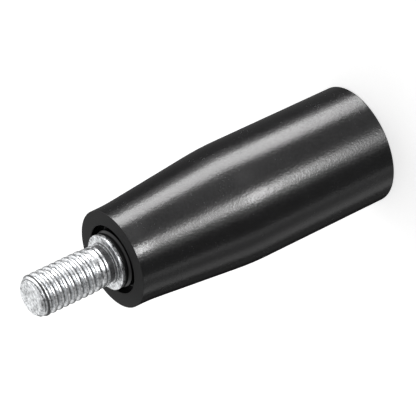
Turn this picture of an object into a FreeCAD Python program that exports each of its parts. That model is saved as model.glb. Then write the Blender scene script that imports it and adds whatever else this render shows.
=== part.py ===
import FreeCAD, Part
import math
import os

# Revolving machine handle, in millimetres.
# The spindle's axis is Z. The grip stands on its flat far end at height 0, with the threaded stud
# pointing up. A depth is measured along the axis from the grip's front face, positive into the grip
# and negative towards the stud's tip.

# Grip, a moulding with a short land at its front rim, a taper and a nearly cylindrical rear half
grip_length = 41.0
front_diameter = 13.86
front_land_length = 2.4
front_edge_chamfer = 0.1
widest_diameter = 17.0
end_diameter = 16.8
taper_length = 18.7
taper_blend_radius = 45.0
end_edge_chamfer = 0.25

# Round recess in the front face
recess_diameter = 9.7
recess_depth = 2.1
recess_edge_chamfer = 0.1

# Main bore and the two bushes in it
bush_outside_diameter = 7.4
bush_running_clearance = 0.03
bush_bore_chamfer = 0.2
bush_head_chamfer = 0.35
bush_lead_chamfer = 0.3
front_bush_length = 12.2
front_bush_head_diameter = 8.1
front_bush_head_proud = 0.12
rear_bush_length = 11.0
rear_bush_flange_diameter = 11.0
rear_bush_flange_thickness = 1.0

# Rear bore and the seat of the end cap
rear_bore_diameter = 12.0
rear_bore_depth = 8.0
cap_flange_diameter = 13.1
cap_flange_thickness = 1.5
cap_recess = 0.3
cap_clearance = 0.05
cap_edge_chamfer = 0.3
cap_seat_edge_chamfer = 0.2
cap_skirt_length = 3.2
cap_skirt_wall = 0.9
cap_slot_count = 4
cap_slot_width = 1.0
snap_bead_rise = 0.25
snap_bead_width = 0.9
snap_bead_flat = 0.2
snap_bead_setback = 2.1
snap_groove_clearance = 0.1

# Spindle, turned from one bar
stud_diameter = 6.0
stud_length = 12.0
stud_tip_diameter = 4.8
stud_lead_length = 1.2
neck_diameter = 5.36
neck_length = 0.75
neck_runout = 0.25
neck_root_chamfer = 0.33
collar_diameter = 7.8
collar_thickness = 0.5
collar_edge_chamfer = 0.08
journal_diameter = 6.0
journal_end_chamfer = 0.4
journal_end_margin = 1.35

# Hexagon socket in the spindle's rear end
socket_across_flats = 3.0
socket_depth = 3.0
socket_drill_angle = 118.0
socket_mouth_chamfer = 0.2

# Thrust washer between the collar and the front bush
axial_play = 0.05
washer_bore_clearance = 0.1
thrust_washer_thickness = 0.45
thrust_washer_diameter = 7.8

# Steel washer and retaining ring behind the rear bush
rear_washer_thickness = 0.5
rear_washer_diameter = 11.0
groove_diameter = 5.7
groove_width = 0.8
ring_thickness = 0.7
ring_seat_clearance = 0.01
ring_outside_diameter = 8.1
ring_offset = 0.25
ring_gap = 1.2
ring_lug_radius = 1.15
ring_lug_reach = 5.55
ring_lug_hole_diameter = 1.1

# Radii that follow from the sizes above
bush_bore_radius = journal_diameter / 2 + bush_running_clearance
journal_radius = journal_diameter / 2
rear_bore_radius = rear_bore_diameter / 2

# Depths that follow from the sizes above
bush_head_face_depth = -front_bush_head_proud
thrust_washer_back_depth = bush_head_face_depth - axial_play
collar_back_depth = thrust_washer_back_depth - thrust_washer_thickness
collar_face_depth = collar_back_depth - collar_thickness
stud_tip_depth = collar_face_depth - stud_length
rear_shoulder_depth = grip_length - rear_bore_depth
rear_flange_face_depth = rear_shoulder_depth + rear_bush_flange_thickness
rear_washer_depth = rear_flange_face_depth + axial_play
ring_depth = rear_washer_depth + rear_washer_thickness
groove_end_depth = ring_depth + ring_thickness
spindle_end_depth = groove_end_depth + journal_end_margin
cap_face_depth = grip_length - cap_recess
cap_seat_depth = cap_face_depth - cap_flange_thickness
snap_depth = cap_seat_depth - snap_bead_setback


def height(depth):
    """Height above the grip's far end of a depth below its front face."""
    return grip_length - depth


def corner_arc(before, corner, after, radius):
    """Start, middle and end of the arc that rounds one corner of an outline."""
    to_before = (before - corner).normalize()
    to_after = (after - corner).normalize()
    half_angle = to_before.getAngle(to_after) / 2
    setback = radius / math.tan(half_angle)
    bisector = (to_before + to_after).normalize()
    middle = corner + bisector * (radius / math.sin(half_angle) - radius)
    return corner + to_before * setback, middle, corner + to_after * setback


def turned(corners):
    """Solid of revolution about Z. Each corner is (radius, depth, rounding)."""
    points = [FreeCAD.Vector(radius, 0, height(depth)) for radius, depth, _ in corners]
    edges = []
    runs = []
    for index, (_, _, rounding) in enumerate(corners):
        corner = points[index]
        if rounding == 0:
            runs.append((corner, corner))
            continue
        before = points[index - 1]
        after = points[(index + 1) % len(points)]
        start, middle, end = corner_arc(before, corner, after, rounding)
        edges.append(Part.Arc(start, middle, end).toShape())
        runs.append((start, end))
    for index, (_, leave) in enumerate(runs):
        reach = runs[(index + 1) % len(runs)][0]
        edges.append(Part.makeLine(leave, reach))
    wire = Part.Wire(Part.__sortEdges__(edges))
    return Part.Face(wire).revolve(FreeCAD.Vector(0, 0, 0), FreeCAD.Vector(0, 0, 1), 360)


def ring_washer(inside_radius, outside_radius, depth, thickness):
    """Flat stamped washer."""
    far_depth = depth + thickness
    return turned([
        (inside_radius, depth, 0),
        (outside_radius, depth, 0),
        (outside_radius, far_depth, 0),
        (inside_radius, far_depth, 0),
    ])


def headed_bush(head_radius, face_depth, shoulder_depth, end_depth):
    """Plain bush with a head at face_depth that seats at shoulder_depth."""
    inward = math.copysign(1, end_depth - face_depth)
    body_radius = bush_outside_diameter / 2
    mouth_radius = bush_bore_radius + bush_bore_chamfer
    return turned([
        (bush_bore_radius, face_depth + inward * bush_bore_chamfer, 0),
        (mouth_radius, face_depth, 0),
        (head_radius - bush_head_chamfer, face_depth, 0),
        (head_radius, face_depth + inward * bush_head_chamfer, 0),
        (head_radius, shoulder_depth, 0),
        (body_radius, shoulder_depth, 0),
        (body_radius, end_depth - inward * bush_lead_chamfer, 0),
        (body_radius - bush_lead_chamfer, end_depth, 0),
        (mouth_radius, end_depth, 0),
        (bush_bore_radius, end_depth - inward * bush_bore_chamfer, 0),
    ])


def make_grip():
    """Grip with its front recess, main bore, rear bore and cap seat."""
    front_radius = front_diameter / 2
    bore_radius = bush_outside_diameter / 2
    recess_radius = recess_diameter / 2
    seat_radius = cap_flange_diameter / 2 + cap_clearance
    groove_radius = rear_bore_radius + snap_bead_rise + snap_groove_clearance
    groove_half = snap_bead_width / 2 + snap_groove_clearance
    groove_flat_half = snap_bead_flat / 2 + snap_groove_clearance
    return turned([
        (bore_radius, recess_depth, 0),
        (recess_radius, recess_depth, 0),
        (recess_radius, recess_edge_chamfer, 0),
        (recess_radius + recess_edge_chamfer, 0, 0),
        (front_radius - front_edge_chamfer, 0, 0),
        (front_radius, front_edge_chamfer, 0),
        (front_radius, front_land_length, 0),
        (widest_diameter / 2, taper_length, taper_blend_radius),
        (end_diameter / 2, grip_length - end_edge_chamfer, 0),
        (end_diameter / 2 - end_edge_chamfer, grip_length, 0),
        (seat_radius + cap_seat_edge_chamfer, grip_length, 0),
        (seat_radius, grip_length - cap_seat_edge_chamfer, 0),
        (seat_radius, cap_seat_depth, 0),
        (rear_bore_radius, cap_seat_depth, 0),
        (rear_bore_radius, snap_depth + groove_half, 0),
        (groove_radius, snap_depth + groove_flat_half, 0),
        (groove_radius, snap_depth - groove_flat_half, 0),
        (rear_bore_radius, snap_depth - groove_half, 0),
        (rear_bore_radius, rear_shoulder_depth, 0),
        (bore_radius, rear_shoulder_depth, 0),
    ])


def socket_cutter():
    """Hexagon socket with a drilled point at its bottom and a chamfered mouth."""
    corner_radius = socket_across_flats / math.sqrt(3)
    mouth = height(spindle_end_depth)
    bottom = mouth + socket_depth
    corners = [
        FreeCAD.Vector(corner_radius * math.cos(turn), corner_radius * math.sin(turn), mouth)
        for turn in (math.radians(60 * side) for side in range(7))
    ]
    hexagon = Part.Face(Part.makePolygon(corners))
    prism = hexagon.extrude(FreeCAD.Vector(0, 0, socket_depth))
    drill_radius = socket_across_flats / 2
    point_length = drill_radius / math.tan(math.radians(socket_drill_angle / 2))
    up = FreeCAD.Vector(0, 0, 1)
    point = Part.makeCone(drill_radius, 0, point_length, FreeCAD.Vector(0, 0, bottom), up)
    chamfer = Part.makeCone(
        corner_radius + socket_mouth_chamfer, corner_radius, socket_mouth_chamfer,
        FreeCAD.Vector(0, 0, mouth), up)
    return prism.fuse([point, chamfer])


def make_spindle():
    """Stud, relief neck, collar and journal turned from one bar, with a ring groove and a socket."""
    stud_radius = stud_diameter / 2
    neck_radius = neck_diameter / 2
    neck_start_depth = collar_face_depth - neck_length
    collar_radius = collar_diameter / 2
    groove_radius = groove_diameter / 2
    bar = turned([
        (0, stud_tip_depth, 0),
        (stud_tip_diameter / 2, stud_tip_depth, 0),
        (stud_radius, stud_tip_depth + stud_lead_length, 0),
        (stud_radius, neck_start_depth - neck_runout, 0),
        (neck_radius, neck_start_depth, 0),
        (neck_radius, collar_face_depth - neck_root_chamfer, 0),
        (neck_radius + neck_root_chamfer, collar_face_depth, 0),
        (collar_radius - collar_edge_chamfer, collar_face_depth, 0),
        (collar_radius, collar_face_depth + collar_edge_chamfer, 0),
        (collar_radius, collar_back_depth - collar_edge_chamfer, 0),
        (collar_radius - collar_edge_chamfer, collar_back_depth, 0),
        (journal_radius, collar_back_depth, 0),
        (journal_radius, groove_end_depth - groove_width, 0),
        (groove_radius, groove_end_depth - groove_width, 0),
        (groove_radius, groove_end_depth, 0),
        (journal_radius, groove_end_depth, 0),
        (journal_radius, spindle_end_depth - journal_end_chamfer, 0),
        (journal_radius - journal_end_chamfer, spindle_end_depth, 0),
        (0, spindle_end_depth, 0),
    ])
    return bar.cut(socket_cutter())


def make_thrust_washer():
    """Thin washer between the collar's back and the front bush's head."""
    return ring_washer(
        journal_radius + washer_bore_clearance, thrust_washer_diameter / 2,
        collar_back_depth, thrust_washer_thickness)


def make_front_bush():
    """Bush whose tall head stands in the grip's front recess."""
    end_depth = bush_head_face_depth + front_bush_length
    return headed_bush(front_bush_head_diameter / 2, bush_head_face_depth, recess_depth, end_depth)


def make_rear_bush():
    """Bush whose flange bears on the shoulder of the grip's rear bore."""
    end_depth = rear_flange_face_depth - rear_bush_length
    return headed_bush(
        rear_bush_flange_diameter / 2, rear_flange_face_depth, rear_shoulder_depth, end_depth)


def make_rear_washer():
    """Steel washer between the rear bush's flange and the retaining ring."""
    return ring_washer(
        journal_radius + washer_bore_clearance, rear_washer_diameter / 2,
        rear_washer_depth, rear_washer_thickness)


def make_retaining_ring():
    """Sprung ring in the spindle's groove, widest opposite its gap, with two eyed lugs."""
    low = height(groove_end_depth)
    up = FreeCAD.Vector(0, 0, 1)
    seat_radius = groove_diameter / 2 + ring_seat_clearance
    eye_radius = ring_lug_reach - ring_lug_radius
    eye_x = ring_gap / 2 + ring_lug_radius
    eye_y = math.sqrt(eye_radius ** 2 - eye_x ** 2)
    ring = Part.makeCylinder(
        ring_outside_diameter / 2, ring_thickness, FreeCAD.Vector(0, -ring_offset, low), up)
    eyes = []
    for side in (-1, 1):
        centre = FreeCAD.Vector(side * eye_x, eye_y, low)
        ring = ring.fuse(Part.makeCylinder(ring_lug_radius, ring_thickness, centre, up))
        root = Part.makeBox(2 * ring_lug_radius, eye_radius, ring_thickness)
        root.translate(FreeCAD.Vector(-ring_lug_radius, 0, low))
        root.rotate(FreeCAD.Vector(0, 0, 0), up, -side * math.degrees(math.atan2(eye_x, eye_y)))
        ring = ring.fuse(root)
        eyes.append(Part.makeCylinder(ring_lug_hole_diameter / 2, ring_thickness, centre, up))
    seat = Part.makeCylinder(seat_radius, ring_thickness, FreeCAD.Vector(0, 0, low), up)
    gap = Part.makeBox(ring_gap, ring_lug_reach + ring_lug_radius, ring_thickness)
    gap.translate(FreeCAD.Vector(-ring_gap / 2, 0, low))
    return ring.cut([seat, gap] + eyes).removeSplitter()


def make_end_cap():
    """Snap-in cap: a flange on the grip's seat and a slotted skirt with a snap bead."""
    flange_radius = cap_flange_diameter / 2
    skirt_radius = rear_bore_radius - cap_clearance
    inside_radius = skirt_radius - cap_skirt_wall
    bead_radius = rear_bore_radius + snap_bead_rise
    skirt_end_depth = cap_seat_depth - cap_skirt_length
    cap = turned([
        (0, cap_face_depth, 0),
        (flange_radius - cap_edge_chamfer, cap_face_depth, 0),
        (flange_radius, cap_face_depth - cap_edge_chamfer, 0),
        (flange_radius, cap_seat_depth, 0),
        (skirt_radius, cap_seat_depth, 0),
        (skirt_radius, snap_depth + snap_bead_width / 2, 0),
        (bead_radius, snap_depth + snap_bead_flat / 2, 0),
        (bead_radius, snap_depth - snap_bead_flat / 2, 0),
        (skirt_radius, snap_depth - snap_bead_width / 2, 0),
        (skirt_radius, skirt_end_depth, 0),
        (inside_radius, skirt_end_depth, 0),
        (inside_radius, cap_seat_depth, 0),
        (0, cap_seat_depth, 0),
    ])
    slots = []
    for index in range(cap_slot_count):
        slot = Part.makeBox(bead_radius, cap_slot_width, cap_skirt_length)
        slot.translate(FreeCAD.Vector(0, -cap_slot_width / 2, height(cap_seat_depth)))
        slot.rotate(FreeCAD.Vector(0, 0, 0), FreeCAD.Vector(0, 0, 1), 360 * index / cap_slot_count)
        slots.append(slot)
    return cap.cut(slots)


pieces = {
    "grip": make_grip,
    "spindle": make_spindle,
    "thrust_washer": make_thrust_washer,
    "front_bush": make_front_bush,
    "rear_bush": make_rear_bush,
    "rear_washer": make_rear_washer,
    "retaining_ring": make_retaining_ring,
    "end_cap": make_end_cap,
}

os.makedirs("parts", exist_ok=True)
for node, make_piece in pieces.items():
    solid = make_piece()
    box = solid.BoundBox
    solid.exportStep("parts/" + node + ".step")
    print(node, "valid", solid.isValid(), "solids", len(solid.Solids), "volume", round(solid.Volume, 2),
          "heights", round(box.ZMin, 2), round(box.ZMax, 2), "across", round(box.XLength, 2))
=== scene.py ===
# %% [markdown]
# # Revolving machine handle
#
# The real object is a black moulded grip that turns on a zinc-plated steel spindle. The spindle ends
# in an M6 thread, which is screwed into a handwheel or a crank. Nearly every piece was turned or
# moulded round one axis, so this lesson teaches one tool well: a small lathe made of nodes.
#
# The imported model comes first. It fixes every size and place, and nothing made later moves it.

import math

import bmesh
import bpy
from mathutils import Matrix, Vector


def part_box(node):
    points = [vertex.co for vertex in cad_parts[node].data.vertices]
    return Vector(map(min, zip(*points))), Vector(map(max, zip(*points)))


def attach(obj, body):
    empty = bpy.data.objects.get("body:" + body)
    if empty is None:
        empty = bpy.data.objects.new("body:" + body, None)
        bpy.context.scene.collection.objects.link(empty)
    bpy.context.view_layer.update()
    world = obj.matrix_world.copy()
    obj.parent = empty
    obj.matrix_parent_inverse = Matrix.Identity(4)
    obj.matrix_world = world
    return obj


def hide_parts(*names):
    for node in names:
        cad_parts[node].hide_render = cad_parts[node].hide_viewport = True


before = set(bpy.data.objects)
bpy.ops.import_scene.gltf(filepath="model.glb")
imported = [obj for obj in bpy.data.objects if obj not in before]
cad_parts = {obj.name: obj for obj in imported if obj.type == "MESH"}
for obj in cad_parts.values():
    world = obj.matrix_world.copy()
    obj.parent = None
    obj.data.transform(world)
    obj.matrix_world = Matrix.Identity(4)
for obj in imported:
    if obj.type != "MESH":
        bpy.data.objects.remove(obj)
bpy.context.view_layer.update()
print("nodes:", sorted(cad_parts))

# %% [markdown]
# Lengths below are written in millimetres, as on a workshop drawing, and are turned into metres when
# a mesh or a node is made. Only the floor, the lamps and the cards, which are far larger, are written
# in metres. Heights that the frame already knows are read from its boxes. A depth is measured from
# the grip's front face, because that is how the handle would be dimensioned.

# %% Units
MM = 0.001


def box_mm(node):
    """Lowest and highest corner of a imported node, in millimetres."""
    low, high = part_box(node)
    return low / MM, high / MM


front_height = box_mm("grip")[1].z
print("the grip's front face lies at", round(front_height, 2), "mm")

# %% [markdown]
# The photograph shows the handle lying down, seen from above its stud, with the stud towards the
# lower left. Here the handle stands on its far end, so the camera is turned about its line of sight
# instead. Three things fix it: the way the grip runs off in the picture, how far the stud leans
# towards the camera, and where the centre of the front face falls. The long lens keeps the weak
# perspective of a product photograph.

# %% Camera
PICTURE_PIXELS = 416
SENSOR_MM = 36.0
CAMERA_REACH = 10
focal_pixels = 4000.0
front_centre_pixel = (112.13, 259.52)
pixels_per_mm = 7.604
lean_to_camera = math.radians(27.95)
rise_in_picture = math.radians(25.41)


def photograph_axes():
    """The frame's X, Y and Z as seen by the camera, whose own Z points back at the viewer."""
    along = Vector((math.cos(rise_in_picture), math.sin(rise_in_picture), 0)) * math.cos(lean_to_camera)
    z_axis = Vector((0, 0, math.sin(lean_to_camera))) - along
    viewer = Vector((0, 0, 1))
    y_axis = -(viewer - z_axis * z_axis.z).normalized()
    return y_axis.cross(z_axis), y_axis, z_axis


def make_camera():
    """Camera that puts the front face where the photograph has it."""
    turn = Matrix(photograph_axes())
    half = PICTURE_PIXELS / 2
    offset = Vector((front_centre_pixel[0] - half, half - front_centre_pixel[1], -focal_pixels))
    front_centre = Vector((0, 0, front_height * MM))
    place = front_centre - turn @ (offset * MM / pixels_per_mm)
    data = bpy.data.cameras.new("photograph_camera")
    data.sensor_width = SENSOR_MM
    data.lens = SENSOR_MM * focal_pixels / PICTURE_PIXELS
    data.clip_end = CAMERA_REACH
    camera = bpy.data.objects.new("photograph_camera", data)
    camera.matrix_world = Matrix.Translation(place) @ turn.to_4x4()
    bpy.context.scene.collection.objects.link(camera)
    bpy.context.scene.camera = camera
    return camera


camera = make_camera()
print("camera at", [round(c, 3) for c in camera.location], "m, lens", round(camera.data.lens, 1), "mm")

# %% [markdown]
# A turned piece is half of its own section, swung once round the axis. The section is written as a
# list of corners, each with the radius that rounds it. Arcs replace the rounded corners, so a section
# of sixteen corners is enough for the whole grip.

# %% Section outlines
ARC_STEP = math.radians(7.5)
FEWEST_ARC_STEPS = 4


def corner_arc(before, corner, after, radius):
    """Points of the arc that rounds a corner between two straight runs."""
    to_before = (before - corner).normalized()
    to_after = (after - corner).normalized()
    half_angle = to_before.angle(to_after) / 2
    setback = radius / math.tan(half_angle)
    bisector = (to_before + to_after).normalized()
    centre = corner + bisector * (radius / math.sin(half_angle))
    start = (corner + to_before * setback - centre).normalized()
    end = (corner + to_after * setback - centre).normalized()
    steps = max(FEWEST_ARC_STEPS, math.ceil(start.angle(end) / ARC_STEP))
    return [centre + start.slerp(end, step / steps) * radius for step in range(steps + 1)]


def outline(corners):
    """Rounded outline from (radius, height, rounding) corners, all in millimetres."""
    points = [Vector((radius, 0, height)) for radius, height, _ in corners]
    rounded = []
    for index, (_, _, rounding) in enumerate(corners):
        if rounding == 0:
            rounded.append(points[index])
            continue
        after = points[(index + 1) % len(points)]
        rounded += corner_arc(points[index - 1], points[index], after, rounding)
    return rounded


square_corner = corner_arc(Vector((0, 0, 1)), Vector((0, 0, 0)), Vector((1, 0, 0)), 0.5)
print("a square corner with 0.5 mm of rounding becomes", len(square_corner), "points")

# %% [markdown]
# Trees of nodes are wired in code, and four small helpers keep that readable. The first makes an empty
# tree with named inputs, and the second adds a node and connects it. The other two stand for the two
# nodes that are used most: an arithmetic step, and a map from one stretch of values to another.

# %% Node helpers
def new_tree(name, inputs):
    """Empty Geometry Nodes tree with named inputs, given as (name, socket type, default)."""
    tree = bpy.data.node_groups.new(name, "GeometryNodeTree")
    tree.interface.new_socket("Geometry", in_out="INPUT", socket_type="NodeSocketGeometry")
    for label, kind, default in inputs:
        socket = tree.interface.new_socket(label, in_out="INPUT", socket_type=kind)
        if default is not None:
            socket.default_value = default
    tree.interface.new_socket("Geometry", in_out="OUTPUT", socket_type="NodeSocketGeometry")
    return tree


def wire(tree, kind, links=None, **settings):
    """Adds one node, sets its properties and connects or fills its inputs by name or number."""
    node = tree.nodes.new(kind)
    for key, value in settings.items():
        setattr(node, key, value)
    for socket, source in (links or {}).items():
        if isinstance(source, bpy.types.NodeSocket):
            tree.links.new(source, node.inputs[socket])
        else:
            node.inputs[socket].default_value = source
    return node


def maths(tree, operation, first, second=0.0, third=0.0):
    """One arithmetic step, given as a socket or a number on each side."""
    node = wire(tree, "ShaderNodeMath", {0: first, 1: second, 2: third}, operation=operation)
    return node.outputs[0]


def ramp(tree, value, start, end, low=0.0, high=1.0, **settings):
    """Maps the stretch from start to end of a value to low and high, and is level beyond it."""
    node = wire(tree, "ShaderNodeMapRange", {
        "Value": value, "From Min": start, "From Max": end, "To Min": low, "To Max": high}, **settings)
    return node.outputs["Result"]


print("helpers:", ", ".join(helper.__name__ for helper in (new_tree, wire, maths, ramp)))

# %% [markdown]
# The lathe could be a Screw modifier or a spin in mesh code. Geometry Nodes are chosen because the
# tree shows the idea plainly and every piece shares it: a grid has one row of points for each outline
# point and one column for each step round the axis, and each grid point is moved to its outline
# point's radius and height. Where the outline touches the axis or meets itself, the doubled points
# are merged, which closes the solid.

# %% Lathe tree
MERGE_DISTANCE = 0.001 * MM
RING_SEGMENTS = 192


def finish_surface(tree, geometry, material, sharp_angle):
    """Closes seams, keeps real edges crisp, smooths the rest and sets the material."""
    merged = wire(tree, "GeometryNodeMergeByDistance", {"Geometry": geometry, "Distance": MERGE_DISTANCE})
    smooth = wire(tree, "GeometryNodeSetShadeSmooth", {"Geometry": merged.outputs[0]}, domain="FACE")
    angle = wire(tree, "GeometryNodeInputMeshEdgeAngle")
    gentle = wire(tree, "FunctionNodeCompare", {"A": angle.outputs["Unsigned Angle"], "B": sharp_angle},
                  data_type="FLOAT", operation="LESS_THAN")
    crisp = wire(tree, "GeometryNodeSetShadeSmooth",
                 {"Geometry": smooth.outputs[0], "Shade Smooth": gentle.outputs[0]}, domain="EDGE")
    real = wire(tree, "GeometryNodeRealizeInstances", {"Geometry": crisp.outputs[0]})
    dressed = wire(tree, "GeometryNodeSetMaterial", {"Geometry": real.outputs[0], "Material": material})
    wire(tree, "NodeGroupOutput", {0: dressed.outputs[0]})


def build_lathe():
    """Tree that swings the outline's points round Z."""
    tree = new_tree("lathe", [
        ("Segments", "NodeSocketInt", RING_SEGMENTS),
        ("Sharp Angle", "NodeSocketFloat", math.radians(30)),
        ("Material", "NodeSocketMaterial", None),
    ])
    given = tree.nodes.new("NodeGroupInput").outputs
    count = wire(tree, "GeometryNodeAttributeDomainSize", {"Geometry": given["Geometry"]})
    columns = maths(tree, "ADD", given["Segments"], 1)
    grid = wire(tree, "GeometryNodeMeshGrid",
                {"Vertices X": count.outputs["Point Count"], "Vertices Y": columns})
    index = wire(tree, "GeometryNodeInputIndex").outputs[0]
    # Half a point is added so that rounding down never lands a row short.
    row = maths(tree, "FLOOR", maths(tree, "DIVIDE", maths(tree, "ADD", index, 0.5), columns))
    column = maths(tree, "SUBTRACT", index, maths(tree, "MULTIPLY", row, columns))
    place = wire(tree, "GeometryNodeInputPosition").outputs[0]
    sample = wire(tree, "GeometryNodeSampleIndex",
                  {"Geometry": given["Geometry"], "Value": place, "Index": row}, data_type="FLOAT_VECTOR")
    section = wire(tree, "ShaderNodeSeparateXYZ", {0: sample.outputs[0]}).outputs
    turn = maths(tree, "DIVIDE", maths(tree, "MULTIPLY", column, math.tau), given["Segments"])
    across = maths(tree, "MULTIPLY", section["X"], maths(tree, "COSINE", turn))
    back = maths(tree, "MULTIPLY", section["X"], maths(tree, "SINE", turn))
    moved = wire(tree, "ShaderNodeCombineXYZ", {"X": across, "Y": back, "Z": section["Z"]})
    shaped = wire(tree, "GeometryNodeSetPosition",
                  {"Geometry": grid.outputs["Mesh"], "Position": moved.outputs[0]})
    finish_surface(tree, shaped.outputs[0], given["Material"], given["Sharp Angle"])
    return tree


lathe = build_lathe()
print("lathe tree has", len(lathe.nodes), "nodes")

# %% [markdown]
# A modifier's inputs are set through the identifiers of its sockets. The evaluated result is copied
# to a plain mesh and the modifier goes, so that the mesh holds exactly what is seen. A last pass
# turns every face outwards, because a section that was listed the other way round would give a solid
# that is inside out.

# %% From outline to plain mesh
def run_tree(piece, tree, values):
    """Runs a tree on a piece once and keeps the result as its plain mesh."""
    modifier = piece.modifiers.new(tree.name, "NODES")
    modifier.node_group = tree
    sockets = {item.name: item.identifier for item in tree.interface.items_tree
               if item.item_type == "SOCKET" and item.in_out == "INPUT"}
    for label, value in values.items():
        modifier[sockets[label]] = value
    ready = piece.evaluated_get(bpy.context.evaluated_depsgraph_get())
    mesh = bpy.data.meshes.new_from_object(ready)
    piece.modifiers.clear()
    mesh.name = piece.name
    piece.data = mesh


def face_outwards(piece):
    """Recalculates the normals of a closed piece."""
    mesh = bmesh.new()
    mesh.from_mesh(piece.data)
    bmesh.ops.recalc_face_normals(mesh, faces=mesh.faces)
    open_edges = sum(1 for edge in mesh.edges if not edge.is_manifold)
    mesh.to_mesh(piece.data)
    mesh.free()
    print(piece.name, len(piece.data.polygons), "faces,", open_edges, "open edges")


def turned(name, corners, material, segments=RING_SEGMENTS):
    """Piece turned from a closed outline or from one that starts and ends on the axis."""
    points = outline(corners)
    if corners[0][0] > 0:
        points.append(points[0])
    mesh = bpy.data.meshes.new(name)
    mesh.from_pydata([point * MM for point in points],
                     [(i, i + 1) for i in range(len(points) - 1)], [])
    piece = bpy.data.objects.new(name, mesh)
    bpy.context.scene.collection.objects.link(piece)
    run_tree(piece, lathe, {"Segments": segments, "Material": material})
    face_outwards(piece)
    return piece


# %% [markdown]
# Two effects are shared by several finishes, so each is a shader group that is built once. The first
# is grain. It puts out a fine height and a broad, soft mottle, both from Object coordinates, so the
# pattern stays on the piece when the piece turns.

# %% Grain group
def new_shader_group(name, inputs, outputs):
    """Empty shader group with float inputs (name, default) and float outputs."""
    group = bpy.data.node_groups.new(name, "ShaderNodeTree")
    for label, default in inputs:
        socket = group.interface.new_socket(label, in_out="INPUT", socket_type="NodeSocketFloat")
        socket.default_value = default
    for label in outputs:
        group.interface.new_socket(label, in_out="OUTPUT", socket_type="NodeSocketFloat")
    return group


def noise(tree, place, scale, detail):
    """Noise pattern from 0 to 1."""
    node = wire(tree, "ShaderNodeTexNoise", {"Vector": place, "Scale": scale, "Detail": detail})
    return node.outputs["Fac"]


def build_grain():
    """Fine grain height and a broad mottle mask."""
    group = new_shader_group("grain", [("Fine Scale", 4000.0), ("Broad Scale", 300.0)],
                             ["Height", "Mottle"])
    given = group.nodes.new("NodeGroupInput").outputs
    place = wire(group, "ShaderNodeTexCoord").outputs["Object"]
    fine = noise(group, place, given["Fine Scale"], detail=3.0)
    broad = noise(group, place, given["Broad Scale"], detail=2.0)
    wire(group, "NodeGroupOutput", {"Height": fine, "Mottle": broad})
    return group


grain = build_grain()
print("grain group has", len(grain.nodes), "nodes")

# %% [markdown]
# The second effect is the fine rings that a lathe tool leaves. They follow the distance from the axis
# on a face and the height on a cylinder, so the sum of the two serves for both. Some noise along the
# same way keeps the rings from being even.

# %% Turning marks group
WAVE_SHARE = 0.2


def build_turning_marks():
    """Rings from a turning tool: a jittered wave of the height plus the radius."""
    group = new_shader_group("turning_marks", [("Feed", 20000.0), ("Jitter", 0.4)], ["Height"])
    given = group.nodes.new("NodeGroupInput").outputs
    place = wire(group, "ShaderNodeTexCoord").outputs["Object"]
    part = wire(group, "ShaderNodeSeparateXYZ", {0: place}).outputs
    radius = maths(group, "SQRT", maths(
        group, "ADD", maths(group, "POWER", part["X"], 2), maths(group, "POWER", part["Y"], 2)))
    travel = maths(group, "ADD", radius, part["Z"])
    ring = wire(group, "ShaderNodeCombineXYZ", {"X": travel}).outputs[0]
    uneven = maths(group, "MULTIPLY", noise(group, ring, given["Feed"], detail=2.0), given["Jitter"])
    wave = maths(group, "SINE", maths(group, "MULTIPLY", travel, given["Feed"]))
    mixed = maths(group, "ADD", uneven, maths(group, "MULTIPLY", wave, WAVE_SHARE))
    wire(group, "NodeGroupOutput", {"Height": mixed})
    return group


turning_marks = build_turning_marks()
print("turning marks group has", len(turning_marks.nodes), "nodes")

# %% [markdown]
# Every finish starts in the same way: a Principled shader, the grain placed with its own scales, two
# colours mixed by the mottle, and a bump. A noise pattern seldom comes near 0 or 1, so only its middle
# is spread over the range that a finish asks for.

# %% Finish helpers
PATTERN_LOW = 0.3
PATTERN_HIGH = 0.7


def start_material(name):
    """New node material with its Principled shader."""
    material = bpy.data.materials.new(name)
    material.use_nodes = True
    return material, material.node_tree, material.node_tree.nodes["Principled BSDF"]


def grain_node(tree, fine_scale, broad_scale):
    """Places the shared grain in a material."""
    node = wire(tree, "ShaderNodeGroup", node_tree=grain)
    node.inputs["Fine Scale"].default_value = fine_scale
    node.inputs["Broad Scale"].default_value = broad_scale
    return node.outputs


def spread(tree, value, low, high):
    """Maps the middle of a pattern to a low and a high value."""
    return ramp(tree, value, PATTERN_LOW, PATTERN_HIGH, low, high)


def tint(tree, value, dark, light):
    """Mixes two colours by a pattern."""
    node = wire(tree, "ShaderNodeMix", {"Factor": spread(tree, value, 0.0, 1.0)}, data_type="RGBA")
    node.inputs["A"].default_value = (*dark, 1)
    node.inputs["B"].default_value = (*light, 1)
    return node.outputs["Result"]


def bump(tree, height, distance):
    """Bump of full strength, whose distance is in millimetres."""
    node = wire(tree, "ShaderNodeBump", {"Height": height, "Strength": 1.0, "Distance": distance * MM})
    return node.outputs["Normal"]


print("a pattern is spread from", PATTERN_LOW, "to", PATTERN_HIGH)

# %% [markdown]
# Black phenolic moulding is glossy but never a mirror. Its skin carries a very fine peel and pits,
# which make the long highlights soft and slightly sandy, so the same grain goes into the bump and, a
# little, into the roughness. The colour is nearly black, so almost everything that is seen of the
# grip is reflection. Its front face was cut flat after moulding, which leaves it matt. A height tells
# the finish where that face begins, so the grip needs no second material. The bearing plastic of the
# bushes, the thrust washer and the cap is satin and has a finer grain.

# %% Plastics
MOTTLE_SCALE = 260.0
FACED_SKIN = 0.03
FACED_BLEND = 0.05
FACED_ROUGHNESS = 0.88


def faced_off(tree, roughness, height):
    """Raises the roughness of everything above a height."""
    place = wire(tree, "ShaderNodeTexCoord").outputs["Object"]
    z = wire(tree, "ShaderNodeSeparateXYZ", {0: place}).outputs["Z"]
    mask = ramp(tree, z, (height - FACED_BLEND) * MM, height * MM)
    return maths(tree, "MULTIPLY_ADD", mask, maths(tree, "SUBTRACT", FACED_ROUGHNESS, roughness), roughness)


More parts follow.
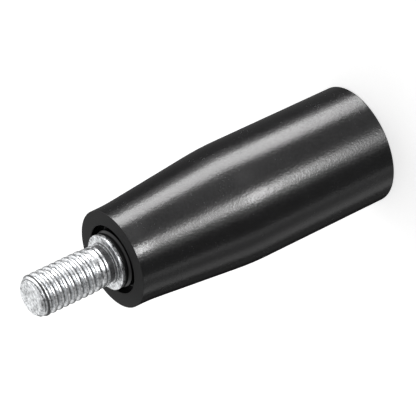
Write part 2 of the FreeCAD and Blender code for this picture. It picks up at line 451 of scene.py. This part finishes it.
def plastic(name, dark, light, gloss, pitting, grain_scale, peel, faced_height=None):
    """Moulded black plastic; gloss is its low and high roughness, peel the height of its grain."""
    material, tree, shader = start_material(name)
    pattern = grain_node(tree, grain_scale, MOTTLE_SCALE)
    roughness = maths(tree, "ADD", spread(tree, pattern["Mottle"], *gloss),
                      spread(tree, pattern["Height"], -pitting, pitting))
    if faced_height is not None:
        roughness = faced_off(tree, roughness, faced_height)
    tree.links.new(tint(tree, pattern["Mottle"], dark, light), shader.inputs["Base Color"])
    tree.links.new(roughness, shader.inputs["Roughness"])
    tree.links.new(bump(tree, pattern["Height"], peel), shader.inputs["Normal"])
    return material


black_phenolic = plastic(
    "black_phenolic", dark=(0.002, 0.002, 0.0022), light=(0.004, 0.004, 0.0043), gloss=(0.20, 0.23),
    pitting=0.055, grain_scale=3600.0, peel=0.019, faced_height=front_height - FACED_SKIN)
bearing_plastic = plastic(
    "black_bearing_plastic", dark=(0.004, 0.004, 0.0043), light=(0.007, 0.007, 0.0075),
    gloss=(0.3, 0.4), pitting=0.03, grain_scale=6000.0, peel=0.002)
print("plastics:", black_phenolic.name, bearing_plastic.name)

# %% [markdown]
# Bright zinc plate is a thin, cool grey metal skin over turned steel. It copies the tool's rings below
# it and adds its own cloudy crystals, so both groups go into its bump, and the crystals also vary its
# colour and roughness. On the spindle, shade is painted into the thread's roots and into the neck,
# where the real bar lies in shadow. The spindle's mesh says where, in an attribute, and there the
# finish is a dark, non-metallic colour in place of metal. The retaining ring is spring steel with a
# dark phosphate skin.

# %% Metals
TOOL_FEED = 22000.0
CRYSTAL_SCALE = 7000.0
CLOUD_SCALE = 2600.0
EDGE_REFLECTION = 0.12
# Painted shade: its spread over the mottle and its near-black colour.
PAINTED_SHADE_COVER = (0.80, 1.0)
PAINTED_SHADE_COLOUR = (0.01, 0.01, 0.011)


def painted_shade_over(tree, shader, shade, mottle):
    """Paints shade over a metal colour, dark and not metallic, where the mesh's attribute asks for it."""
    amount = wire(tree, "ShaderNodeAttribute", attribute_name="painted_shade").outputs["Fac"]
    painted_shade = maths(tree, "MULTIPLY", amount, spread(tree, mottle, *PAINTED_SHADE_COVER))
    darkened = wire(tree, "ShaderNodeMix", {"Factor": painted_shade, "A": shade}, data_type="RGBA")
    darkened.inputs["B"].default_value = (*PAINTED_SHADE_COLOUR, 1)
    tree.links.new(maths(tree, "SUBTRACT", 1.0, painted_shade), shader.inputs["Metallic"])
    return darkened.outputs["Result"]


def metal(name, dark, light, gloss, crystal, ring_height, with_painted_shade=False):
    """Metal skin; crystal is the height of its crystals, and ring_height that of its turning rings."""
    material, tree, shader = start_material(name)
    shader.inputs["Metallic"].default_value = 1.0
    shader.inputs["Specular IOR Level"].default_value = EDGE_REFLECTION
    pattern = grain_node(tree, CRYSTAL_SCALE, CLOUD_SCALE)
    marks = wire(tree, "ShaderNodeGroup", node_tree=turning_marks)
    marks.inputs["Feed"].default_value = TOOL_FEED
    height = maths(tree, "ADD", maths(tree, "MULTIPLY", pattern["Height"], crystal / ring_height),
                   marks.outputs["Height"])
    shade = tint(tree, pattern["Mottle"], dark, light)
    # Painted shade where the mesh asks for it.
    if with_painted_shade:
        shade = painted_shade_over(tree, shader, shade, pattern["Mottle"])
    tree.links.new(shade, shader.inputs["Base Color"])
    tree.links.new(spread(tree, pattern["Mottle"], *gloss), shader.inputs["Roughness"])
    tree.links.new(bump(tree, height, ring_height), shader.inputs["Normal"])
    return material


zinc_skin = {
    "dark": (0.43, 0.44, 0.45),
    "light": (0.97, 0.985, 1.0),
    "gloss": (0.22, 0.42),
    "crystal": 0.014,
    "ring_height": 0.011,
}
zinc_plate = metal("zinc_plated_steel", **zinc_skin)
# The spindle's copy of the zinc carries painted shade in its hollows.
zinc_plate_painted_shade = metal("zinc_plated_steel_painted_shade", **zinc_skin, with_painted_shade=True)
spring_steel = metal("spring_steel", dark=(0.05, 0.05, 0.055), light=(0.12, 0.12, 0.13),
                     gloss=(0.35, 0.5), crystal=0.004, ring_height=0.001)
print("metals:", zinc_plate.name, zinc_plate_painted_shade.name, spring_steel.name)

# %% [markdown]
# The grip is one moulding: a cone that swells towards the middle, a long soft bend, and a rear half
# with the slight draft that lets it leave its mould. Behind the front face the outside runs straight
# for a few millimetres and only then begins to swell. The section goes on inside, through the front
# recess, the bore for the bushes and the stepped bore that takes the end cap.

# %% Grip
GRIP_SEGMENTS = 288
front_radius = 6.93
front_edge = 0.1
land_length = 2.4
land_blend = 31.0
widest_radius = 8.5
taper_length = 18.7
taper_blend = 45.0
end_radius = 8.4
end_edge = 0.2
recess_radius = 4.85
recess_depth = 2.1
recess_corner = 0.15
recess_edge = 0.12
bore_radius = 3.7
rear_bore_radius = 6.0
rear_bore_depth = 8.0
seat_radius = 6.6
seat_height = 1.8
seat_edge = 0.15
groove_height = 3.9
groove_radius = 6.35
groove_mouth = 1.1
groove_floor = 0.4


def level(depth):
    """Height of a depth below the grip's front face."""
    return front_height - depth


def grip_corners():
    """Section of the grip from the recess's floor, over the outside and back up the bores."""
    return [
        (bore_radius, level(recess_depth), 0),
        (recess_radius, level(recess_depth), recess_corner),
        (recess_radius, level(0), recess_edge),
        (front_radius, level(0), front_edge),
        (front_radius, level(land_length), land_blend),
        (widest_radius, level(taper_length), taper_blend),
        (end_radius, 0, end_edge),
        (seat_radius, 0, seat_edge),
        (seat_radius, seat_height, 0),
        (rear_bore_radius, seat_height, 0),
        (rear_bore_radius, groove_height - groove_mouth / 2, 0),
        (groove_radius, groove_height - groove_floor / 2, 0),
        (groove_radius, groove_height + groove_floor / 2, 0),
        (rear_bore_radius, groove_height + groove_mouth / 2, 0),
        (rear_bore_radius, rear_bore_depth, 0),
        (bore_radius, rear_bore_depth, 0),
    ]


grip = turned("grip_moulding", grip_corners(), black_phenolic, GRIP_SEGMENTS)
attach(grip, "grip_body")
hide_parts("grip")

# %% [markdown]
# The stud is rolled, not cut: dies press the thread into a plain blank, so the turned bar is made
# first and the thread is pressed into it. The blank's outline has many close rows over the stud, and
# a second tree presses those rows inwards. For each point it works out how far along the helix the
# point lies. Crest and root are rounded, as rolling leaves them, and the flanks between stand at the
# standard 60 degrees. The dies are chamfered, so the thread fades in over its first turns from the
# collar. Turning to the right while rising makes it a right-hand thread.

# %% Thread form
THREAD_ANGLE = math.radians(60)
CREST_HALF_WIDTH = 0.16
CREST_ROUNDING = 0.2
ROOT_ROUNDING = 0.06


def helix_phase(tree, given, part):
    """Where a point lies on its way from one crest to the next, from 0 to 1."""
    turn = maths(tree, "DIVIDE", maths(tree, "ARCTAN2", part["Y"], part["X"]), math.tau)
    rise = maths(tree, "DIVIDE", maths(tree, "SUBTRACT", part["Z"], given["Bottom"]), given["Pitch"])
    return maths(tree, "FRACT", maths(
        tree, "SUBTRACT", maths(tree, "SUBTRACT", rise, turn), given["Start Turn"]))


def thread_form(tree, given, phase):
    """Radius of the full thread at a phase."""
    from_crest = maths(tree, "SUBTRACT", 0.5, maths(
        tree, "ABSOLUTE", maths(tree, "SUBTRACT", phase, 0.5)))
    flank_slope = 1 / math.tan(THREAD_ANGLE / 2)
    past_crest = maths(tree, "SUBTRACT", from_crest, CREST_HALF_WIDTH)
    drop = maths(tree, "MULTIPLY", maths(tree, "MULTIPLY", past_crest, given["Pitch"]), flank_slope)
    flank = maths(tree, "SUBTRACT", given["Crest Radius"], drop)
    crest = maths(tree, "SMOOTH_MIN", flank, given["Crest Radius"],
                  maths(tree, "MULTIPLY", given["Pitch"], CREST_ROUNDING))
    return maths(tree, "SMOOTH_MAX", crest, given["Root Radius"],
                 maths(tree, "MULTIPLY", given["Pitch"], ROOT_ROUNDING))


def fade_in(tree, given, part):
    """Rises from 0 at the thread's lower end to 1 where it has its full depth."""
    return ramp(tree, part["Z"], given["Bottom"], maths(tree, "ADD", given["Bottom"], given["Runout"]),
                interpolation_type="SMOOTHSTEP")


print("flanks at", round(math.degrees(THREAD_ANGLE)), "degrees, crest", 2 * CREST_HALF_WIDTH, "of the pitch")

# %% [markdown]
# Shade is painted where the real thread lies in shadow: in the roots, in the neck, at the neck's foot,
# and as a thin dark line along one edge of each crest. The line is strong and black on the turn next
# to the lead chamfer and weak on the rest. The thread tree stores all this in the attribute that the
# finish with painted shade reads.

# %% Painted shade on the thread
# Painted shade: how deep in the roots it begins, and where the dark line along the crests lies and how
# strong it is.
ROOT_SHADE_DEPTH = 0.72
SHADE_LINE_PHASE = 0.16
SHADE_LINE_WIDTH = 0.19
SHADE_LINE_WEAK = 0.38
SHADE_LINE_STRENGTH = 2.0
SHADE_LINE_STARTS = 0.63
SHADE_LINE_FULL = 0.71
SHADE_LINE_FULL_TO = 1.0
SHADE_LINE_FADED = 1.2


def painted_shade_line(tree, given, part, phase):
    """Amount of painted shade in the dark line along the crest, whose ends are given by their depth below
    the tip.
    """
    def below_tip(depth):
        return maths(tree, "SUBTRACT", given["Top"], depth * MM)

    off_shade_line = maths(tree, "ABSOLUTE", maths(tree, "SUBTRACT", phase, SHADE_LINE_PHASE))
    line_fading = ramp(tree, part["Z"], below_tip(SHADE_LINE_FADED), below_tip(SHADE_LINE_FULL_TO), SHADE_LINE_WEAK, 1.0)
    starting = ramp(tree, part["Z"], below_tip(SHADE_LINE_STARTS), below_tip(SHADE_LINE_FULL), SHADE_LINE_WEAK, 1.0)
    line_strength = maths(tree, "MULTIPLY", line_fading, starting)
    shade_line = ramp(tree, off_shade_line, 0.0, maths(tree, "MULTIPLY", line_strength, SHADE_LINE_WIDTH), SHADE_LINE_STRENGTH, 0.0)
    return maths(tree, "MINIMUM", maths(tree, "MULTIPLY", shade_line, line_strength), 1.0)


def root_painted_shade(tree, given, form, along):
    """Amount of painted shade by how deep the thread is at a point."""
    span = maths(tree, "SUBTRACT", given["Crest Radius"], given["Root Radius"])
    depth = maths(tree, "DIVIDE", maths(tree, "SUBTRACT", given["Crest Radius"], form), span)
    return ramp(tree, maths(tree, "MULTIPLY", depth, along), ROOT_SHADE_DEPTH, 1.0)


def painted_shade_below_thread(tree, given, part, radius, above):
    """Amount of painted shade in the neck and at its foot."""
    in_neck = ramp(tree, radius, given["Shank Radius"], given["Neck Radius"])
    at_neck = maths(tree, "MULTIPLY", maths(tree, "SUBTRACT", 1.0, above),
                    maths(tree, "GREATER_THAN", part["Z"], given["Neck Low"]))
    at_foot = maths(tree, "MULTIPLY", maths(tree, "GREATER_THAN", part["Z"], given["Foot Low"]),
                    maths(tree, "LESS_THAN", part["Z"], given["Foot High"]))
    return maths(tree, "MULTIPLY_ADD", in_neck, at_neck, at_foot)


# Depth below the tip down to which the painted dark line is at full strength.
print("the seam is open to", SHADE_LINE_FULL_TO, "mm below the tip")

# %% [markdown]
# The tree presses first and stores the painted shade second. Real dies also squeeze metal up into the
# crests.
# Here the blank has the crest's radius from the start and a point only ever moves inwards, so the
# turned lead chamfer stays wherever it is smaller than the thread.

# %% Thread tree
def build_thread_roller():
    """Tree that presses a helical thread into the rows between two heights."""
    tree = new_tree("thread_roller", [
        ("Pitch", "NodeSocketFloat", 0.001),
        ("Crest Radius", "NodeSocketFloat", 0.003),
        ("Root Radius", "NodeSocketFloat", 0.0024),
        ("Shank Radius", "NodeSocketFloat", 0.0028),
        ("Neck Radius", "NodeSocketFloat", 0.0027),
        ("Neck Low", "NodeSocketFloat", 0.0),
        ("Foot Low", "NodeSocketFloat", 0.0),
        ("Foot High", "NodeSocketFloat", 0.0),
        ("Bottom", "NodeSocketFloat", 0.0),
        ("Top", "NodeSocketFloat", 0.01),
        ("Runout", "NodeSocketFloat", 0.001),
        ("Start Turn", "NodeSocketFloat", 0.0),
        ("Sharp Angle", "NodeSocketFloat", math.radians(40)),
        ("Material", "NodeSocketMaterial", None),
    ])
    given = tree.nodes.new("NodeGroupInput").outputs
    place = wire(tree, "GeometryNodeInputPosition").outputs[0]
    part = wire(tree, "ShaderNodeSeparateXYZ", {0: place}).outputs
    radius = maths(tree, "SQRT", maths(
        tree, "ADD", maths(tree, "MULTIPLY", part["X"], part["X"]),
        maths(tree, "MULTIPLY", part["Y"], part["Y"])))
    phase = helix_phase(tree, given, part)
    form = thread_form(tree, given, phase)
    along = fade_in(tree, given, part)
    eased = maths(tree, "MULTIPLY_ADD", maths(tree, "SUBTRACT", form, given["Shank Radius"]),
                  along, given["Shank Radius"])
    kept = maths(tree, "MINIMUM", eased, radius)
    scale = maths(tree, "DIVIDE", kept, maths(tree, "MAXIMUM", radius, MERGE_DISTANCE))
    above = maths(tree, "GREATER_THAN", part["Z"], given["Bottom"])
    inside = maths(tree, "MULTIPLY", above, maths(tree, "LESS_THAN", part["Z"], given["Top"]))
    shrink = wire(tree, "ShaderNodeCombineXYZ", {"X": scale, "Y": scale, "Z": 1.0})
    pressed = wire(tree, "ShaderNodeVectorMath", {0: place, 1: shrink.outputs[0]}, operation="MULTIPLY")
    rolled = wire(tree, "GeometryNodeSetPosition", {
        "Geometry": given["Geometry"], "Selection": inside, "Position": pressed.outputs[0]})
    # Painted shade from the crest line, the roots, the neck and its foot, stored for the finish.
    on_shade_line = maths(tree, "MULTIPLY", painted_shade_line(tree, given, part, phase), along)
    deepest = maths(tree, "MAXIMUM", root_painted_shade(tree, given, form, along), on_shade_line)
    on_thread = maths(tree, "MULTIPLY", inside, maths(tree, "GREATER_THAN", radius, given["Root Radius"]))
    painted_shade = maths(tree, "ADD", maths(tree, "MULTIPLY", deepest, on_thread),
                painted_shade_below_thread(tree, given, part, radius, above))
    stored = wire(tree, "GeometryNodeStoreNamedAttribute", {
        "Geometry": rolled.outputs[0], "Name": "painted_shade", "Value": painted_shade}, data_type="FLOAT", domain="POINT")
    finish_surface(tree, stored.outputs[0], given["Material"], given["Sharp Angle"])
    return tree


thread_roller = build_thread_roller()
print("thread tree has", len(thread_roller.nodes), "nodes")

# %% [markdown]
# The spindle is one bar. Its blank has the tip, dished a little by the parting tool, with a lead
# chamfer, then the stud with the last line that the dies press into it, a plain strip, the relief
# neck with a small step at its foot, and the thin collar that is tightened against the handwheel.
# Behind the collar is the plain journal that the grip turns on, with a groove for the retaining ring.

# %% Spindle sizes
spindle_low, spindle_high = box_mm("spindle")
washer_low, washer_high = box_mm("thrust_washer")
spindle_bottom = spindle_low.z
stud_top = spindle_high.z
stud_length = 12.0
pitch = 1.0
crest_radius = 2.99
root_radius = 2.47
shank_radius = 2.86
start_turn = 0.46
tip_radius = 2.4
tip_edge = 0.1
lead_length = 0.75
dish_radius = 2.25
dish_depth = 0.06
dish_step = 0.5
collar_radius = spindle_high.x
collar_edge = 0.08
collar_face = stud_top - stud_length
collar_back = washer_high.z
step_radius = 2.86
step_flare = 0.12
step_foot = collar_face + 0.12
step_bend = step_foot + 0.1
step_top = collar_face + 0.28
neck_radius = 2.66
neck_foot_rounding = 0.06
neck_rounding = 0.1
neck_high = collar_face + 1.0
shank_low = collar_face + 1.22
shank_rounding = 0.05
last_line = collar_face + 1.60
last_line_width = 0.3
last_line_floor = 0.04
last_line_depth = 0.3
thread_low = last_line + 0.2
thread_fade = 1.7
journal_radius = 3.0
journal_chamfer = 0.4
groove_floor_radius = 2.85
ring_groove_width = 0.8
ring_groove_low = box_mm("retaining_ring")[0].z
print("stud", stud_length, "mm, thread", round(stud_top - thread_low, 2), "mm")

# %% [markdown]
# The outline runs from the tip on the axis, down the outside, to the rear end on the axis again. Each
# stretch of the bar has its own function, so that a change to one leaves the others alone.

# %% Spindle outline
ROWS_PER_PITCH = 26
TIP_ROWS = 3


def tip_corners():
    """Shallow dish of the tip, from the axis outwards, and the tip's edge."""
    radii = [dish_step * step for step in range(math.ceil(dish_radius / dish_step))]
    corners = [(radius, stud_top - dish_depth * (1 - (radius / dish_radius) ** 2), 0)
               for radius in (*radii, dish_radius)]
    return [*corners, (tip_radius, stud_top, tip_edge)]


def stud_corners():
    """Close rows down the lead chamfer and the stud, for the thread to be pressed into."""
    rows = round((stud_top - thread_low) / pitch * ROWS_PER_PITCH)
    corners = []
    for row in range(TIP_ROWS, rows):
        height = stud_top - (stud_top - thread_low) * row / rows
        lead = min(1, (stud_top - height) / lead_length)
        corners.append((tip_radius + (crest_radius - tip_radius) * lead, height, 0))
    return corners


def neck_corners():
    """Last line of the thread, plain strip, relief neck and the step at its foot."""
    return [
        (shank_radius, thread_low, 0),
        (shank_radius, last_line + last_line_width / 2, 0),
        (shank_radius - last_line_depth, last_line + last_line_floor / 2, 0),
        (shank_radius - last_line_depth, last_line - last_line_floor / 2, 0),
        (shank_radius, last_line - last_line_width / 2, 0),
        (shank_radius, shank_low, shank_rounding),
        (neck_radius, neck_high, neck_rounding),
        (neck_radius, step_top, neck_foot_rounding),
        (step_radius, step_top, 0),
        (step_radius, step_bend, 0),
        (step_radius, step_foot, 0),
        (step_radius + step_flare, collar_face, 0),
    ]


def journal_corners():
    """Collar, journal with the ring's groove, and the chamfered rear end."""
    return [
        (collar_radius, collar_face, collar_edge),
        (collar_radius, collar_back, collar_edge),
        (journal_radius, collar_back, 0),
        (journal_radius, ring_groove_low + ring_groove_width, 0),
        (groove_floor_radius, ring_groove_low + ring_groove_width, 0),
        (groove_floor_radius, ring_groove_low, 0),
        (journal_radius, ring_groove_low, 0),
        (journal_radius, spindle_bottom + journal_chamfer, 0),
        (journal_radius - journal_chamfer, spindle_bottom, 0),
        (0, spindle_bottom, 0),
    ]


spindle_corners = tip_corners() + stud_corners() + neck_corners() + journal_corners()
print("spindle outline has", len(spindle_corners), "corners")

# %% [markdown]
# The blank is turned and then goes through the thread tree. The tree's lengths are metres, as all of
# Blender's are, so each size is multiplied once, here.

# %% Spindle with its thread
SPINDLE_SEGMENTS = 160
# Margins of the painted shade in the neck and at its foot.
NECK_SHADE_MARGIN = 0.04
NECK_SHADE_RISE = 0.02
FOOT_SHADE_MARGIN = 0.01

spindle = turned("spindle_bar", spindle_corners, zinc_plate_painted_shade, SPINDLE_SEGMENTS)
run_tree(spindle, thread_roller, {
    "Pitch": pitch * MM,
    "Crest Radius": crest_radius * MM,
    "Root Radius": root_radius * MM,
    "Shank Radius": shank_radius * MM,
    "Neck Radius": (neck_radius + NECK_SHADE_MARGIN) * MM,
    "Neck Low": (step_top + NECK_SHADE_RISE) * MM,
    "Foot Low": (step_foot - FOOT_SHADE_MARGIN) * MM,
    "Foot High": (step_top - FOOT_SHADE_MARGIN) * MM,
    "Bottom": thread_low * MM,
    "Top": stud_top * MM,
    "Runout": thread_fade * MM,
    "Start Turn": start_turn,
    "Material": zinc_plate_painted_shade,
})
face_outwards(spindle)

# %% [markdown]
# A key for a hexagon socket holds the spindle while it is screwed in. The socket is pressed into the
# real bar's rear end, and here a Boolean cuts it, because a six-sided hole can't be turned.

# %% Hexagon socket
socket_flats = 3.0
socket_depth = 3.0


def cut_socket(piece):
    """Cuts a hexagon socket into the lower end of a piece."""
    corner_radius = socket_flats / math.sqrt(3) * MM
    tool = bmesh.new()
    bmesh.ops.create_cone(tool, cap_ends=True, segments=6, radius1=corner_radius,
                          radius2=corner_radius, depth=2 * socket_depth * MM)
    bmesh.ops.translate(tool, verts=tool.verts, vec=(0, 0, spindle_bottom * MM))
    mesh = bpy.data.meshes.new("socket_tool")
    tool.to_mesh(mesh)
    tool.free()
    cutter = bpy.data.objects.new("socket_tool", mesh)
    bpy.context.scene.collection.objects.link(cutter)
    modifier = piece.modifiers.new("socket", "BOOLEAN")
    modifier.object = cutter
    modifier.operation = "DIFFERENCE"
    modifier.solver = "EXACT"
    ready = piece.evaluated_get(bpy.context.evaluated_depsgraph_get())
    result = bpy.data.meshes.new_from_object(ready)
    piece.modifiers.clear()
    piece.data = result
    bpy.data.objects.remove(cutter)


cut_socket(spindle)
print("spindle has", len(spindle.data.polygons), "faces")
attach(spindle, "spindle_body")
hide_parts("spindle")

# %% [markdown]
# Behind the collar lies the thrust washer, which turns with the spindle. It is a plain ring with its
# edges just broken, so four corners on the lathe are enough.

# %% Thrust washer
washer_bore = 3.1
washer_bore_edge = 0.03
washer_edge = 0.06
washer = turned("thrust_ring", [
    (washer_bore, washer_high.z, washer_bore_edge),
    (washer_high.x, washer_high.z, washer_edge),
    (washer_high.x, washer_low.z, washer_edge),
    (washer_bore, washer_low.z, washer_bore_edge),
], bearing_plastic)
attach(washer, "spindle_body")
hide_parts("thrust_washer")

# %% [markdown]
# The front bush belongs to the grip. Its bevelled head is what shows in the recess, and its body goes
# down the grip's bore. Chamfers at both ends of its own bore let the journal in.

# %% Front bush
bush_low, bush_high = box_mm("front_bush")
bush_bore = 3.03
bush_bore_chamfer = 0.2
bush_foot_rounding = 0.2
bush_head_bevel = 0.35
bush_head_edge = 0.05
front_bush = turned("front_bearing", [
    (bush_bore, bush_high.z - bush_bore_chamfer, 0),
    (bush_bore + bush_bore_chamfer, bush_high.z, 0),
    (bush_high.x - bush_head_bevel, bush_high.z, bush_head_edge),
    (bush_high.x, bush_high.z - bush_head_bevel, bush_head_edge),
    (bush_high.x, level(recess_depth), 0),
    (bore_radius, level(recess_depth), 0),
    (bore_radius, bush_low.z, bush_foot_rounding),
    (bush_bore + bush_bore_chamfer, bush_low.z, 0),
    (bush_bore, bush_low.z + bush_bore_chamfer, 0),
], bearing_plastic)
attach(front_bush, "grip_body")
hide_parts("front_bush")

# %% [markdown]
# The rear bush, the rear washer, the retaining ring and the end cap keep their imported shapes, because
# those are already true, and only take a finish. The first three are hidden in the grip, and the cap
# is seen from below.

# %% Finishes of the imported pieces
carried_over = {
    "rear_bush": bearing_plastic,
    "rear_washer": zinc_plate,
    "retaining_ring": spring_steel,
    "end_cap": bearing_plastic,
}
for node, material in carried_over.items():
    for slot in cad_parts[node].material_slots:
        slot.material = material
print("packed pieces finished:", ", ".join(carried_over))

# %% [markdown]
# The floor is white to the camera and keeps only the handle's soft shadow. It lets light and
# reflections through, because in the photograph's view it isn't what the handle lies on.

# %% Floor
FLOOR_SIZE = 1.2
FLOOR_GREY = 0.8
FLOOR_GLOW = 0.65


def make_floor():
    """White floor under the far end."""
    material, _, shader = start_material("white_floor")
    shader.inputs["Base Color"].default_value = (FLOOR_GREY, FLOOR_GREY, FLOOR_GREY, 1)
    shader.inputs["Roughness"].default_value = 1.0
    shader.inputs["Specular IOR Level"].default_value = 0.0
    shader.inputs["Emission Color"].default_value = (1, 1, 1, 1)
    shader.inputs["Emission Strength"].default_value = FLOOR_GLOW
    mesh = bpy.data.meshes.new("floor")
    half = FLOOR_SIZE / 2
    mesh.from_pydata([(-half, -half, 0), (half, -half, 0), (half, half, 0), (-half, half, 0)],
                     [], [(0, 1, 2, 3)])
    mesh.materials.append(material)
    floor = bpy.data.objects.new("floor", mesh)
    bpy.context.scene.collection.objects.link(floor)
    floor.visible_diffuse = False
    floor.visible_glossy = False
    floor.visible_transmission = False
    floor.visible_shadow = False
    return floor


floor = make_floor()
print("floor is", FLOOR_SIZE, "m wide")

# %% [markdown]
# Two long softboxes draw the two highlights that run the length of the grip, one near its top and
# one just below the middle. On a black cylinder a softbox shows where the surface points halfway
# between it and the camera, so each one is placed by how far round the axis it stands from the
# camera, and leans along the axis as the camera does, the other way. The lower highlight is brightest
# where the grip bends, and a short, brighter core within its softbox makes that. A weak lamp lights
# the stud's side, and a wide one overhead whitens the thread's flanks.

# %% Softboxes
bpy.context.scene.view_settings.view_transform = "Standard"
AIM = Vector((0, 0, 0.022))
LAMP_DISTANCE = 0.6


def away_from_handle(turn, rise):
    """Direction by its turn round Z from the camera's side and its rise above level, in degrees."""
    turn = math.radians(turn)
    rise = math.radians(rise)
    return Vector((math.sin(turn) * math.cos(rise), -math.cos(turn) * math.cos(rise), math.sin(rise)))


def stand_off(thing, turn, rise, distance):
    """Places a lamp or a card at a distance from the handle, facing it."""
    away = away_from_handle(turn, rise)
    thing.location = AIM + away * distance
    thing.rotation_euler = away.to_track_quat("Z", "Y").to_euler()
    bpy.context.scene.collection.objects.link(thing)


def softbox(name, turn, rise, width, length, brightness):
    """Rectangular area lamp, measured in metres, whose brightness counts a white surface as 1."""
    data = bpy.data.lights.new(name, "AREA")
    data.shape = "RECTANGLE"
    data.size = width
    data.size_y = length
    data.energy = brightness * math.pi * width * length
    lamp = bpy.data.objects.new(name, data)
    stand_off(lamp, turn, rise, LAMP_DISTANCE)
    lamp.visible_camera = False


softbox("upper_softbox", turn=73.6, rise=-18.0, width=0.276, length=0.420, brightness=9.6)
softbox("front_softbox", turn=-6.9, rise=-17.0, width=0.172, length=0.410, brightness=6.0)
softbox("front_softbox_core", turn=-7.8, rise=-24.2, width=0.160, length=0.056, brightness=25.0)
softbox("stud_softbox", turn=32, rise=-23.5, width=0.22, length=0.06, brightness=0.8)
softbox("overhead_softbox", turn=160, rise=63, width=0.70, length=0.40, brightness=1.6)
print("softboxes:", [light.name for light in bpy.data.lights])

# %% [markdown]
# The room is white, as the background is, and a glossy black thing shows all of it. A photographer
# therefore stands black and grey cards round it, just outside the picture, and it is the cards that
# keep the grip black between its highlights. Two stand between the softboxes and one beyond each.
# Four more, on the side that is lower in the picture, pass from grey over light grey to black and give
# that side of the grip its soft steps. The last four stand higher, behind the handle and beside the
# camera, for the front face, the rounded edges and the stud. All of them show in reflections only.

# %% Cards
CARD_DISTANCE = 0.5


def card(name, turn, rise, width, length, grey):
    """Card of one grey, measured in metres, that only reflections see."""
    material, _, shader = start_material(name)
    shader.inputs["Base Color"].default_value = (0, 0, 0, 1)
    shader.inputs["Specular IOR Level"].default_value = 0.0
    shader.inputs["Emission Color"].default_value = (grey, grey, grey, 1)
    shader.inputs["Emission Strength"].default_value = 1.0
    x = width / 2
    y = length / 2
    mesh = bpy.data.meshes.new(name)
    mesh.from_pydata([(-x, -y, 0), (x, -y, 0), (x, y, 0), (-x, y, 0)], [], [(0, 3, 2, 1)])
    mesh.materials.append(material)
    sheet = bpy.data.objects.new(name, mesh)
    stand_off(sheet, turn, rise, CARD_DISTANCE)
    sheet.visible_camera = False
    sheet.visible_diffuse = False
    sheet.visible_transmission = False
    sheet.visible_shadow = False
    return sheet


cards = [
    card("card_behind", turn=180, rise=30, width=0.36, length=0.26, grey=0.62),
    card("card_between_front", turn=32, rise=-12, width=0.30, length=0.13, grey=0.48),
    card("card_between_rear", turn=32, rise=-35, width=0.30, length=0.14, grey=0.48),
    card("card_front_dark", turn=-49.5, rise=-22, width=0.335, length=0.60, grey=0.20),
    card("card_below_grey", turn=-89, rise=-28, width=0.18, length=0.60, grey=0.36),
    card("card_below_light", turn=-107.5, rise=-28, width=0.15, length=0.60, grey=0.68),
    card("card_below_dim", turn=-129, rise=-28, width=0.24, length=0.60, grey=0.09),
    card("card_below_dark", turn=-160, rise=-28, width=0.34, length=0.60, grey=0.02),
    card("card_camera_side", turn=0, rise=27, width=0.50, length=0.40, grey=0.01),
    card("card_camera_below", turn=-60, rise=27, width=0.45, length=0.40, grey=0.03),
    card("card_above_grey", turn=140, rise=-25, width=0.68, length=0.60, grey=0.14),
    card("card_stud_grey", turn=-119, rise=45, width=0.45, length=0.45, grey=0.68),
]
print(len(cards), "cards stand round the handle")

# %% [markdown]
# The world is white where it is seen or mirrored. To everything else it gives only a weak, even fill,
# so that the softboxes do the lighting.

# %% White room
ROOM_FILL = 0.3


def make_world():
    """White room wherever it is seen or mirrored, and a weaker even fill."""
    world = bpy.data.worlds.new("white_room")
    world.use_nodes = True
    tree = world.node_tree
    path = wire(tree, "ShaderNodeLightPath").outputs
    seen = maths(tree, "MAXIMUM", path["Is Camera Ray"], maths(
        tree, "MAXIMUM", path["Is Glossy Ray"], path["Is Transmission Ray"]))
    background = tree.nodes["Background"]
    background.inputs["Color"].default_value = (1, 1, 1, 1)
    tree.links.new(ramp(tree, seen, 0.0, 1.0, ROOM_FILL, 1.0), background.inputs["Strength"])
    bpy.context.scene.world = world
    return world


world = make_world()
print("world:", world.name, "with a fill of", ROOM_FILL)
